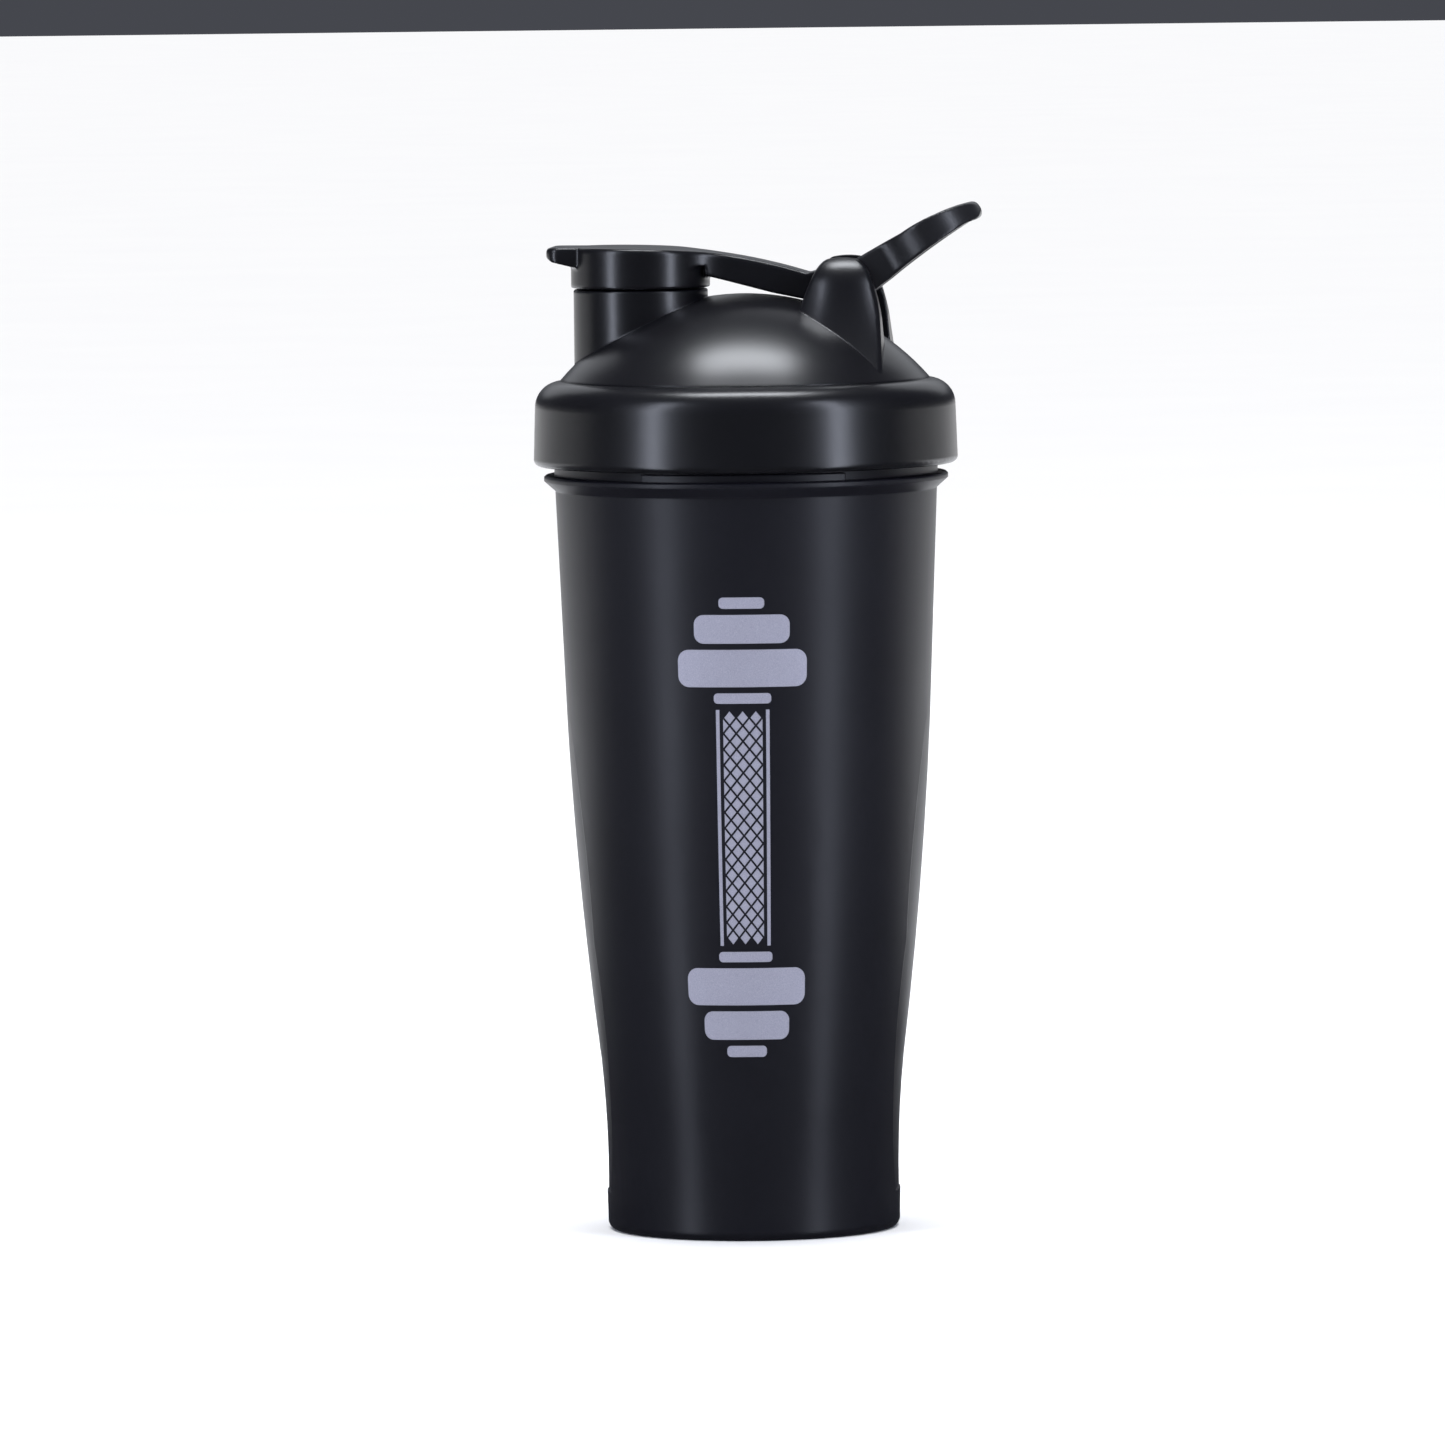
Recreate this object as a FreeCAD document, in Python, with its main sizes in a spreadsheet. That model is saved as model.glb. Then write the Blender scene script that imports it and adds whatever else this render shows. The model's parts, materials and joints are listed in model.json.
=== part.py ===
import FreeCAD, Part
import math
import os
import Sketcher

# A protein shaker bottle: a tapered drinking cup with a screw lid, a flip cap over the
# spout, a carry loop on the same hinge pin, and a loose wire whisk ball inside.
# Millimetres.  +Z is up, the origin is the centre of the plane the foot stands on,
# the spout is towards -X and the hinge pin lies along Y on the +X side.

Vector = FreeCAD.Vector
Constraint = Sketcher.Constraint
ON_AXIS = 1e-9
SHEET = "Dimensions"
SUNK = 0.4       # how far a part that is fused on reaches into its neighbour
BEYOND = 2.0     # how far a cutting outline runs past what it cuts
WHOLE = 260.0    # longer than any piece
LEVEL = 0.05     # an edge that rises less than this is level

doc = FreeCAD.newDocument("shaker_bottle")


# ---------------------------------------------------------------- driving dimensions

DIMENSIONS = {
    # cup: outside profile from the foot to the bead under the lid
    "wall": 1.8,
    "foot_radius": 33.9,
    "foot_rounding": 2.0,
    "foot_ring_inner": 29.5,
    "dish_depth": 2.2,
    "flare_z": 25.0,
    "flare_radius": 35.3,
    "flare_curve": 212.0,
    "belly_z": 105.0,
    "belly_radius": 41.5,
    "belly_curve": 1067.0,
    "bead_z": 171.7,
    "bead_root_radius": 44.2,
    "bead_radius": 46.8,
    "bead_rise": 2.3,
    "bead_top_z": 175.3,
    "neck_radius": 44.4,
    "neck_bore_radius": 42.5,
    "rim_z": 191.0,
    "rim_chamfer": 0.4,
    "floor_z": 4.2,
    "floor_edge_z": 5.6,
    "floor_edge_radius": 21.5,
    "floor_corner_z": 17.6,
    "floor_corner": 12.0,
    "floor_corner_radius": 33.1,
    "floor_curve": 166.0,
    "pad_radius": 45.4,
    "pad_top_z": 177.0,
    "pad_angle": 62.0,
    "cup_yaw": 4.0,
    # grips: the shallow reliefs on the two sides of the cup
    "grip_top_z": 137.0,
    "grip_wide_z": 68.0,
    "grip_half_width": 15.5,
    "grip_foot_z": 9.0,
    "grip_foot_half_width": 8.0,
    "grip_top_curve": 120.0,
    "grip_low_curve": 110.0,
    "grip_backing": 1.6,
    "grip_high_z": 133.0,
    "grip_high_radius": 42.65,
    "grip_low_z": 40.0,
    "grip_low_radius": 35.15,
    "grip_floor_curve": 1010.0,
    "grip_end_radius": 34.0,
    "grip_end_curve": 260.0,
    "grip_end_rise": 8.0,
    "grip_end_lean": 0.8,
    "core_inset": 0.6,
    "core_foot_inset": 1.2,
    # screw thread shared by the cup and the lid: two starts
    "thread_lead": 10.0,
    "thread_turn": 160.0,
    "thread_z": 181.7,
    "thread_crest": 46.3,
    "thread_root_half": 1.2,
    "thread_crest_half": 0.6,
    "lid_thread_drop": 2.3,
    "lid_thread_crest": 45.0,
    # lid
    "skirt_z": 177.5,
    "skirt_radius": 49.1,
    "skirt_top_radius": 48.7,
    "skirt_bore_radius": 47.0,
    "skirt_lip": 1.5,
    "skirt_chamfer": 0.6,
    "skirt_chamfer_rise": 0.8,
    "shoulder_z": 191.0,
    "shoulder_rounding": 6.0,
    "dome_apex_z": 216.9,
    "dome_curve": 56.3,
    "dome_wall": 2.0,
    "channel_z": 193.0,
    "lip_radius": 42.2,
    "lip_wall": 1.4,
    "lip_z": 188.4,
    # spout
    "spout_x": -24.0,
    "spout_radius": 15.55,
    "spout_shoulder_z": 218.2,
    "spout_neck_radius": 13.7,
    "spout_rim_radius": 13.2,
    "spout_rim_z": 224.6,
    "spout_rim_rounding": 0.9,
    "spout_shoulder_rounding": 0.6,
    "spout_bore_radius": 11.8,
    # hinge bracket on the lid
    "hinge_x": 24.8,
    "hinge_z": 218.0,
    "bracket_x": 23.6,
    "bracket_top_z": 226.3,
    "bracket_slot": 18.0,
    "ear_crown_radius": 6.5,
    "ear_crown_curve": 11.3,
    "ear_radius": 14.2,
    "ear_shoulder_drop": 6.6,
    "ear_flare_radius": 27.0,
    "ear_flare_drop": 28.3,
    "ear_flare_curve": 90.0,
    "ear_foot_radius": 29.2,
    "ear_foot_drop": 40.0,
    "ear_foot_back": 11.6,
    "ear_foot_front": 11.4,
    "ear_side_back": 10.4,
    "ear_side_back_drop": 15.8,
    "ear_side_front": 9.0,
    "ear_side_front_drop": 14.8,
    "ear_brow_back": 6.5,
    "ear_brow_back_drop": 4.6,
    "ear_brow_front": 6.2,
    "ear_brow_front_drop": 4.3,
    "ear_peak_back": 0.4,
    "ear_side_curve": 42.0,
    "ear_inner_curve": 46.0,
    "ear_top_curve": 8.0,
    "ear_rounding": 1.6,
    "pin_radius": 1.6,
    "pin_blind_y": -11.0,
    "pin_end_y": 14.0,
    "running_gap": 0.06,
    # flip cap
    "cap_radius": 16.1,
    "cap_bore_radius": 14.3,
    "cap_skirt_z": 218.5,
    "cap_ceiling_z": 225.7,
    "cap_top_z": 228.1,
    "cap_tab_x": -45.3,
    "cap_tab_z": 223.5,
    "cap_tab_half": 8.6,
    "cap_tab_corner": 3.0,
    "tab_nose": 1.2,
    "tab_chin": 1.3,
    "tab_chin_rise": 1.2,
    "tab_lip_rise": 2.2,
    "tab_slope": 6.2,
    "cap_rounding": 1.0,
    "cap_top_bend_x": -20.0,
    "cap_top_fall": 0.4,
    "cap_top_curve": 726.2,
    "arm_top_fall": 6.4,
    "arm_top_curve": 132.0,
    "arm_end_x": 15.2,
    "arm_root_half": 11.0,
    "arm_root_curve": 15.8,
    "arm_neck_half": 6.0,
    "arm_neck_x": -0.7,
    "arm_under_z": 221.3,
    "arm_low_x": 7.3,
    "arm_low_z": 217.1,
    "arm_heel_x": 14.0,
    "arm_heel_z": 215.7,
    "arm_end_curve": 30.0,
    "hub_heel_x": 20.2,
    "hub_heel_z": 213.9,
    "hub_half_width": 5.1,
    "hub_radius": 5.0,
    "seal_boss_radius": 9.6,
    "seal_boss_wall": 1.6,
    "seal_boss_rise": 0.8,
    "seal_radius": 11.35,
    "seal_tip_radius": 10.9,
    "seal_tip_rounding": 0.4,
    "seal_flange": 1.6,
    "seal_flange_height": 0.8,
    "seal_tip_z": 222.7,
    # carry loop, in its own frame: the hinge is the origin and the loop runs along +X
    "loop_tilt": 29.3,
    "loop_reach": 35.3,
    "loop_half_width": 13.6,
    "loop_bar": 4.8,
    "loop_eye_outer": 8.7,
    "loop_eye_inner": 5.4,
    "loop_eye_radius": 5.0,
    "loop_root_curve": 30.0,
    "loop_waist": 8.8,
    "loop_waist_low": 2.9,
    "loop_under_curve": 160.0,
    "loop_toe": 4.0,
    "loop_toe_low": 0.4,
    "loop_toe_curve": 60.0,
    "loop_chin": 1.6,
    "loop_chin_low": 0.8,
    "loop_nose_curve": 2.2,
    "loop_nose_up": 1.3,
    "loop_brow": 2.0,
    "loop_brow_up": 3.6,
    "loop_brow_curve": 44.0,
    "loop_back": 17.0,
    "loop_back_up": 5.1,
    "loop_back_curve": 260.0,
    "loop_leg": 11.0,
    "loop_spread": 15.0,
    "loop_spread_out": 2.0,
    "loop_spread_curve": 12.0,
    "loop_side_curve": 20.0,
    "opening_spread_out": 1.4,
    "opening_side_curve": 30.0,
    # gasket
    "gasket_inner_radius": 42.4,
    "gasket_outer_radius": 46.8,
    "gasket_bottom_z": 191.1,
    "gasket_top_z": 192.85,
    "gasket_rounding": 0.5,
    # whisk ball
    "ball_radius": 22.9,
    "wire_radius": 1.15,
    "ball_centre_z": 28.6,
    "ball_tilt": 35.0,
}

sheet = doc.addObject("Spreadsheet::Sheet", SHEET)
for row, (alias, number) in enumerate(DIMENSIONS.items(), start=1):
    sheet.set("A%d" % row, alias)
    sheet.set("B%d" % row, str(number))
    sheet.setAlias("B%d" % row, alias)
doc.recompute()


class Size:
    """A length that carries its value and the expression that gives it."""

    def __init__(self, value, text):
        self.value = value
        self.text = text

    def joined(self, other, sign, value):
        return Size(value, "(%s %s %s)" % (self.text, sign, as_size(other).text))

    def __add__(self, other):
        return self.joined(other, "+", self.value + as_size(other).value)

    def __sub__(self, other):
        return self.joined(other, "-", self.value - as_size(other).value)

    def __mul__(self, other):
        return self.joined(other, "*", self.value * as_size(other).value)

    def __neg__(self):
        return Size(-self.value, "(0 - %s)" % self.text)


def as_size(number):
    """A plain number as a Size; a Size stays as it is."""
    if isinstance(number, Size):
        return number
    return Size(float(number), repr(float(number)))


def dim(alias):
    """The named cell of the sheet as a Size."""
    return Size(getattr(sheet, alias), "%s.%s" % (SHEET, alias))


def leg(hypotenuse, side):
    """The other leg of a right triangle."""
    return Size(
        math.sqrt(hypotenuse.value ** 2 - side.value ** 2),
        "sqrt(%s ^ 2 - %s ^ 2)" % (hypotenuse.text, side.text),
    )


# ---------------------------------------------------------------- sketches and features

def new_body(name, label=None):
    body = doc.addObject("PartDesign::Body", name)
    body.Label = label or name
    return body


def new_sketch(body, name, plane):
    """A sketch on one of the body's origin planes: XY, XZ or YZ."""
    sketch = body.newObject("Sketcher::SketchObject", name)
    features = body.Origin.OriginFeatures
    support = next(item for item in features if item.Role == plane + "_Plane")
    sketch.AttachmentSupport = (support, "")
    sketch.MapMode = "FlatFace"
    return sketch


def bind(sketch, index, size):
    sketch.setExpression("Constraints[%d]" % index, size.text)


def fix_coordinate(sketch, geometry, point, kind, size):
    """Holds one coordinate of a sketch point at a Size."""
    if abs(size.value) < ON_AXIS:
        axis = -2 if kind == "DistanceX" else -1
        sketch.addConstraint(Constraint("PointOnObject", geometry, point, axis))
    elif size.value > 0:
        index = sketch.addConstraint(Constraint(kind, -1, 1, geometry, point, size.value))
        bind(sketch, index, size)
    else:
        index = sketch.addConstraint(Constraint(kind, geometry, point, -1, 1, -size.value))
        bind(sketch, index, -size)


def arc_middle(start, end, radius):
    """A point on the short arc from start to end; a positive radius bulges to the right."""
    chord = end - start
    half = chord.Length / 2
    sag = abs(radius) - math.sqrt(radius * radius - half * half)
    right = Vector(chord.y, -chord.x, 0) * (1 / chord.Length)
    return (start + end) * 0.5 + right * math.copysign(sag, radius)


def outline(sketch, corners):
    """A closed outline through corners, counter-clockwise.

    A corner is (x, y) or (x, y, radius): the radius turns the edge that leaves it into an
    arc, bulging outwards when positive and inwards when negative.
    """
    corners = [tuple(as_size(number) for number in corner) for corner in corners]
    points = [Vector(corner[0].value, corner[1].value, 0) for corner in corners]
    edges = []
    for index, corner in enumerate(corners):
        start = points[index]
        end = points[(index + 1) % len(points)]
        if len(corner) == 3:
            radius = corner[2]
            middle = arc_middle(start, end, radius.value)
            if radius.value > 0:
                geometry = sketch.addGeometry(Part.Arc(start, middle, end))
                edges.append((geometry, 1, 2))
            else:
                radius = -radius
                geometry = sketch.addGeometry(Part.Arc(end, middle, start))
                edges.append((geometry, 2, 1))
            held = sketch.addConstraint(Constraint("Radius", geometry, radius.value))
            bind(sketch, held, radius)
        else:
            geometry = sketch.addGeometry(Part.LineSegment(start, end))
            edges.append((geometry, 1, 2))
    for index, corner in enumerate(corners):
        geometry, first, _ = edges[index]
        before, _, last = edges[index - 1]
        sketch.addConstraint(Constraint("Coincident", before, last, geometry, first))
        fix_coordinate(sketch, geometry, first, "DistanceX", corner[0])
        fix_coordinate(sketch, geometry, first, "DistanceY", corner[1])


def circle(sketch, x, y, radius):
    x, y, radius = as_size(x), as_size(y), as_size(radius)
    centre = Vector(x.value, y.value, 0)
    geometry = sketch.addGeometry(Part.Circle(centre, Vector(0, 0, 1), radius.value))
    fix_coordinate(sketch, geometry, 3, "DistanceX", x)
    fix_coordinate(sketch, geometry, 3, "DistanceY", y)
    index = sketch.addConstraint(Constraint("Radius", geometry, radius.value))
    bind(sketch, index, radius)


def frame_around(sketch, reach):
    """A large square, so that a pocket removes what lies outside the inner outline."""
    outline(sketch, [(-reach, -reach), (reach, -reach), (reach, reach), (-reach, reach)])


def finish_feature(body, feature):
    body.Tip = feature
    doc.recompute()
    return feature


def revolve(body, sketch, angle=None, midplane=False):
    kind = "PartDesign::Revolution"
    feature = body.newObject(kind, sketch.Name + "_turned")
    feature.Profile = sketch
    feature.ReferenceAxis = (sketch, ["V_Axis"])
    feature.Midplane = midplane
    if angle is None:
        feature.Angle = 360
    else:
        feature.setExpression("Angle", angle.text)
    return finish_feature(body, feature)


def pad(body, sketch, length, midplane=False, reverse=False):
    feature = body.newObject("PartDesign::Pad", sketch.Name + "_pad")
    feature.Profile = sketch
    feature.setExpression("Length", as_size(length).text)
    feature.Midplane = midplane
    feature.Reversed = reverse
    return finish_feature(body, feature)


def pocket(body, sketch, length, midplane=False, reverse=False):
    before = body.Tip.Shape.Volume
    feature = body.newObject("PartDesign::Pocket", sketch.Name + "_cut")
    feature.Profile = sketch
    feature.setExpression("Length", as_size(length).text)
    feature.Midplane = midplane
    feature.Reversed = reverse
    finish_feature(body, feature)
    if feature.Shape.Volume > before - 0.01:
        raise RuntimeError("pocket %s removed nothing" % feature.Name)
    return feature


def helix(body, sketch, kind):
    """Sweeps a thread tooth up one start; kind is Additive or Subtractive."""
    lead = dim("thread_lead")
    turns = dim("thread_turn") * (1 / 360)
    feature = body.newObject("PartDesign::%sHelix" % kind, sketch.Name + "_helix")
    feature.Profile = sketch
    feature.ReferenceAxis = (sketch, ["V_Axis"])
    feature.Mode = 1
    feature.setExpression("Pitch", lead.text)
    feature.setExpression("Turns", turns.text)
    return finish_feature(body, feature)


def repeat_around(body, original, count, name):
    pattern = body.newObject("PartDesign::PolarPattern", name)
    pattern.Originals = [original]
    features = body.Origin.OriginFeatures
    pattern.Axis = (next(item for item in features if item.Role == "Z_Axis"), [""])
    pattern.Angle = 360
    pattern.Occurrences = count
    return finish_feature(body, pattern)


def faces_up(face):
    """True for a face whose middle looks upwards."""
    low_u, high_u, low_v, high_v = face.ParameterRange
    return face.normalAt((low_u + high_u) / 2, (low_v + high_v) / 2).z > 0.8


def has_edge(face, edge):
    return any(edge.isSame(other) for other in face.Edges)


def round_edges(body, radius, name, wanted):
    """Rounds the edges of the body's last feature for which wanted(edge) is true."""
    base = body.Tip
    picked = [
        "Edge%d" % (index + 1)
        for index, edge in enumerate(base.Shape.Edges)
        if wanted(edge)
    ]
    feature = body.newObject("PartDesign::Fillet", name)
    feature.Base = (base, picked)
    feature.setExpression("Radius", radius.text)
    return finish_feature(body, feature)


def boolean(kind, name, parts, label=None):
    """A Part boolean of whole objects: MultiFuse, MultiCommon or Cut."""
    result = doc.addObject("Part::" + kind, name)
    if kind == "Cut":
        result.Base, result.Tool = parts
    else:
        result.Shapes = parts
    result.Label = label or name
    doc.recompute()
    return result


# ---------------------------------------------------------------- cup

def thread_section(sketch, root_radius, crest_radius, foot_radius, middle_z):
    """A trapezoid thread tooth; foot_radius sinks its root into the wall."""
    root_half = dim("thread_root_half")
    crest_half = dim("thread_crest_half")
    corners = [
        (foot_radius, middle_z - root_half),
        (root_radius, middle_z - root_half),
        (crest_radius, middle_z - crest_half),
        (crest_radius, middle_z + crest_half),
        (root_radius, middle_z + root_half),
        (foot_radius, middle_z + root_half),
    ]
    if crest_radius.value < root_radius.value:
        corners.reverse()
    outline(sketch, corners)


def cup_shell():
    """The turned wall of the cup with its bead, neck, thread and neck pads."""
    body = new_body("cup_shell")
    wall = dim("wall")
    sketch = new_sketch(body, "cup_profile", "XZ")
    outline(sketch, [
        (0, dim("dish_depth")),
        (dim("foot_ring_inner") - dim("foot_rounding"), dim("dish_depth")),
        (dim("foot_ring_inner"), 0),
        (dim("foot_radius") - dim("foot_rounding"), 0, dim("foot_rounding")),
        (dim("foot_radius"), dim("foot_rounding"), -dim("flare_curve")),
        (dim("flare_radius"), dim("flare_z"), dim("belly_curve")),
        (dim("belly_radius"), dim("belly_z")),
        (dim("bead_root_radius"), dim("bead_z")),
        (dim("bead_radius"), dim("bead_z") + dim("bead_rise")),
        (dim("bead_radius"), dim("bead_top_z") - dim("rim_chamfer")),
        (dim("bead_radius") - dim("rim_chamfer"), dim("bead_top_z")),
        (dim("neck_radius"), dim("bead_top_z")),
        (dim("neck_radius"), dim("rim_z") - dim("rim_chamfer")),
        (dim("neck_radius") - dim("rim_chamfer"), dim("rim_z")),
        (dim("neck_bore_radius") + dim("rim_chamfer"), dim("rim_z")),
        (dim("neck_bore_radius"), dim("rim_z") - dim("rim_chamfer")),
        (dim("neck_bore_radius"), dim("bead_z")),
        (dim("belly_radius") - wall, dim("belly_z"), -dim("belly_curve")),
        (dim("flare_radius") - wall, dim("flare_z")),
        (dim("floor_corner_radius"), dim("floor_corner_z"), -dim("floor_corner")),
        (dim("floor_edge_radius"), dim("floor_edge_z"), -dim("floor_curve")),
        (0, dim("floor_z")),
    ])
    revolve(body, sketch)

    pads = new_sketch(body, "neck_pad", "YZ")
    outline(pads, [
        (dim("neck_radius") - SUNK, dim("bead_top_z") - SUNK),
        (dim("pad_radius"), dim("bead_top_z") - SUNK),
        (dim("pad_radius"), dim("pad_top_z")),
        (dim("neck_radius") - SUNK, dim("pad_top_z")),
    ])
    first_pad = revolve(body, pads, angle=dim("pad_angle"), midplane=True)
    repeat_around(body, first_pad, 2, "neck_pads")

    tooth = new_sketch(body, "cup_thread", "XZ")
    thread_section(tooth, dim("neck_radius"), dim("thread_crest"),
                   dim("neck_radius") - SUNK, dim("thread_z"))
    start = helix(body, tooth, "Additive")
    repeat_around(body, start, 2, "cup_thread_starts")
    return body


def relief_ring(name, inset):
    """A ring from the relief's floor, less inset, out past the cup's wall."""
    body = new_body(name)
    outside = dim("bead_radius") + BEYOND
    end_z = dim("grip_top_z") + dim("grip_end_rise")
    sketch = new_sketch(body, name + "_profile", "XZ")
    outline(sketch, [
        (dim("grip_end_radius") - inset, 0),
        (outside, 0),
        (outside, end_z),
        (dim("grip_high_radius") + dim("grip_end_lean") - inset, end_z),
        (dim("grip_high_radius") - inset, dim("grip_high_z"), -dim("grip_floor_curve")),
        (dim("grip_low_radius") - inset, dim("grip_low_z"), dim("grip_end_curve")),
    ])
    revolve(body, sketch)
    return body


def grip_window(name, grow):
    """The pointed-arch outline of both grips, run right through the cup along X."""
    body = new_body(name)
    sketch = new_sketch(body, name + "_outline", "YZ")
    wide = dim("grip_half_width") + grow
    foot = dim("grip_foot_half_width") + grow
    low = dim("grip_foot_z") - grow
    high = dim("grip_top_z") + grow
    outline(sketch, [
        (-foot, low),
        (foot, low, dim("grip_low_curve")),
        (wide, dim("grip_wide_z"), dim("grip_top_curve")),
        (0, high, dim("grip_top_curve")),
        (-wide, dim("grip_wide_z"), dim("grip_low_curve")),
    ])
    pad(body, sketch, dim("bead_radius") * 2, midplane=True)
    return body


def cup_inner_core():
    """What the backing of the grips may fill: everything inside the cup's outer wall."""
    body = new_body("cup_core")
    inset = dim("core_inset")
    sketch = new_sketch(body, "cup_core_profile", "XZ")
    outline(sketch, [
        (0, dim("dish_depth")),
        (dim("foot_radius") - dim("core_foot_inset"), dim("dish_depth"), -dim("flare_curve")),
        (dim("flare_radius") - inset, dim("flare_z"), dim("belly_curve")),
        (dim("belly_radius") - inset, dim("belly_z")),
        (dim("bead_root_radius") - inset, dim("bead_z")),
        (0, dim("bead_z")),
    ])
    revolve(body, sketch)
    return body


def make_cup():
    backing = boolean("MultiCommon", "grip_backing", [
        relief_ring("backing_ring", dim("wall")),
        grip_window("backing_window", dim("grip_backing")),
        cup_inner_core(),
    ])
    relief = boolean("MultiCommon", "grip_relief", [
        relief_ring("relief_floor", as_size(0)),
        grip_window("relief_window", as_size(0)),
    ])
    blank = boolean("MultiFuse", "cup_blank", [cup_shell(), backing])
    cup = boolean("Cut", "cup", [blank, relief])
    cup.setExpression("Placement.Rotation.Angle", dim("cup_yaw").text)
    return cup


# ---------------------------------------------------------------- lid

def lid_outside():
    body = new_body("lid_outside")
    dome_centre = dim("dome_apex_z") - dim("dome_curve")
    corner_radius = dim("skirt_top_radius") - dim("shoulder_rounding")
    seam = dome_centre + leg(dim("dome_curve"), corner_radius)
    sketch = new_sketch(body, "lid_outside_profile", "XZ")
    outline(sketch, [
        (0, dim("skirt_z")),
        (dim("skirt_radius") - dim("skirt_lip"), dim("skirt_z"), dim("skirt_lip")),
        (dim("skirt_radius"), dim("skirt_z") + dim("skirt_lip")),
        (dim("skirt_top_radius"), dim("shoulder_z"), dim("shoulder_rounding")),
        (corner_radius, dim("shoulder_z") + dim("shoulder_rounding")),
        (corner_radius, seam, dim("dome_curve")),
        (0, dim("dome_apex_z")),
    ])
    revolve(body, sketch)
    return body


def lid_inside():
    """The hollow of the lid: thread bore, gasket channel, sealing lip and dome.

    The two thread starts are cut out of the hollow, so they stand inside the skirt.
    """
    body = new_body("lid_inside")
    lip_inner = dim("lip_radius") - dim("lip_wall")
    inner_curve = dim("dome_curve") - dim("dome_wall")
    dome_centre = dim("dome_apex_z") - dim("dome_curve")
    spring = dome_centre + leg(inner_curve, lip_inner)
    mouth = dim("skirt_bore_radius") + dim("skirt_chamfer")
    sketch = new_sketch(body, "lid_inside_profile", "XZ")
    outline(sketch, [
        (0, dim("skirt_z") - BEYOND),
        (mouth, dim("skirt_z") - BEYOND),
        (mouth, dim("skirt_z")),
        (dim("skirt_bore_radius"), dim("skirt_z") + dim("skirt_chamfer_rise")),
        (dim("skirt_bore_radius"), dim("channel_z")),
        (dim("lip_radius"), dim("channel_z")),
        (dim("lip_radius"), dim("lip_z")),
        (lip_inner, dim("lip_z")),
        (lip_inner, spring, inner_curve),
        (0, dim("dome_apex_z") - dim("dome_wall")),
    ])
    revolve(body, sketch)

    tooth = new_sketch(body, "lid_thread", "XZ")
    thread_section(tooth, dim("skirt_bore_radius"), dim("lid_thread_crest"),
                   dim("skirt_bore_radius") + SUNK, dim("thread_z") - dim("lid_thread_drop"))
    start = helix(body, tooth, "Subtractive")
    repeat_around(body, start, 2, "lid_thread_starts")
    return body


def spout_wall():
    """The stepped tube of the spout, standing on its own axis."""
    body = new_body("spout_wall")
    sketch = new_sketch(body, "spout_profile", "XZ")
    rim_rounding = dim("spout_rim_rounding")
    soft = dim("spout_shoulder_rounding")
    outline(sketch, [
        (0, dim("shoulder_z")),
        (dim("spout_radius"), dim("shoulder_z")),
        (dim("spout_radius"), dim("spout_shoulder_z") - soft, soft),
        (dim("spout_radius") - soft, dim("spout_shoulder_z")),
        (dim("spout_neck_radius"), dim("spout_shoulder_z")),
        (dim("spout_rim_radius"), dim("spout_rim_z") - rim_rounding, rim_rounding),
        (dim("spout_rim_radius") - rim_rounding, dim("spout_rim_z")),
        (0, dim("spout_rim_z")),
    ])
    revolve(body, sketch)
    body.setExpression("Placement.Base.x", dim("spout_x").text)
    return body


def bracket_ears():
    """Two bullet-shaped ears that flare into the dome, with the hinge slot between."""
    body = new_body("bracket_ears")
    top = dim("bracket_top_z")
    foot_z = top - dim("ear_foot_drop")
    flare = new_sketch(body, "bracket_flare", "XZ")
    outline(flare, [
        (0, foot_z),
        (dim("ear_foot_radius"), foot_z),
        (dim("ear_flare_radius"), top - dim("ear_flare_drop"), -dim("ear_flare_curve")),
        (dim("ear_radius"), top - dim("ear_shoulder_drop"), dim("ear_crown_curve")),
        (dim("ear_crown_radius"), top),
        (0, top),
    ])
    revolve(body, flare)

    side = new_sketch(body, "bracket_side", "XZ")
    frame_around(side, WHOLE)
    outline(side, [
        (-dim("ear_foot_back"), foot_z - BEYOND),
        (dim("ear_foot_front"), foot_z - BEYOND),
        (dim("ear_side_front"), top - dim("ear_side_front_drop"), dim("ear_side_curve")),
        (dim("ear_brow_front"), top - dim("ear_brow_front_drop"), dim("ear_top_curve")),
        (-dim("ear_peak_back"), top, dim("ear_top_curve")),
        (-dim("ear_brow_back"), top - dim("ear_brow_back_drop"), dim("ear_inner_curve")),
        (-dim("ear_side_back"), top - dim("ear_side_back_drop")),
    ])
    pocket(body, side, WHOLE, midplane=True)

    def rising(edge):
        return edge.BoundBox.ZLength > LEVEL

    round_edges(body, dim("ear_rounding"), "ear_corners", rising)

    slot = new_sketch(body, "hinge_slot", "XY")
    half = dim("bracket_slot") * 0.5
    reach = dim("ear_foot_radius")
    outline(slot, [(-reach, -half), (reach, -half), (reach, half), (-reach, half)])
    pocket(body, slot, WHOLE, reverse=True)
    body.setExpression("Placement.Base.x", dim("bracket_x").text)
    return body


def y_cylinder(name, radius, low_y, high_y):
    """A cylinder along Y on the hinge axis."""
    rod = doc.addObject("Part::Cylinder", name)
    rod.Label = name
    rod.setExpression("Radius", radius.text)
    rod.setExpression("Height", (high_y - low_y).text)
    rod.Placement = FreeCAD.Placement(
        Vector(dim("hinge_x").value, low_y.value, dim("hinge_z").value),
        FreeCAD.Rotation(Vector(1, 0, 0), -90),
    )
    rod.setExpression("Placement.Base.x", dim("hinge_x").text)
    rod.setExpression("Placement.Base.y", low_y.text)
    rod.setExpression("Placement.Base.z", dim("hinge_z").text)
    return rod


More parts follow.
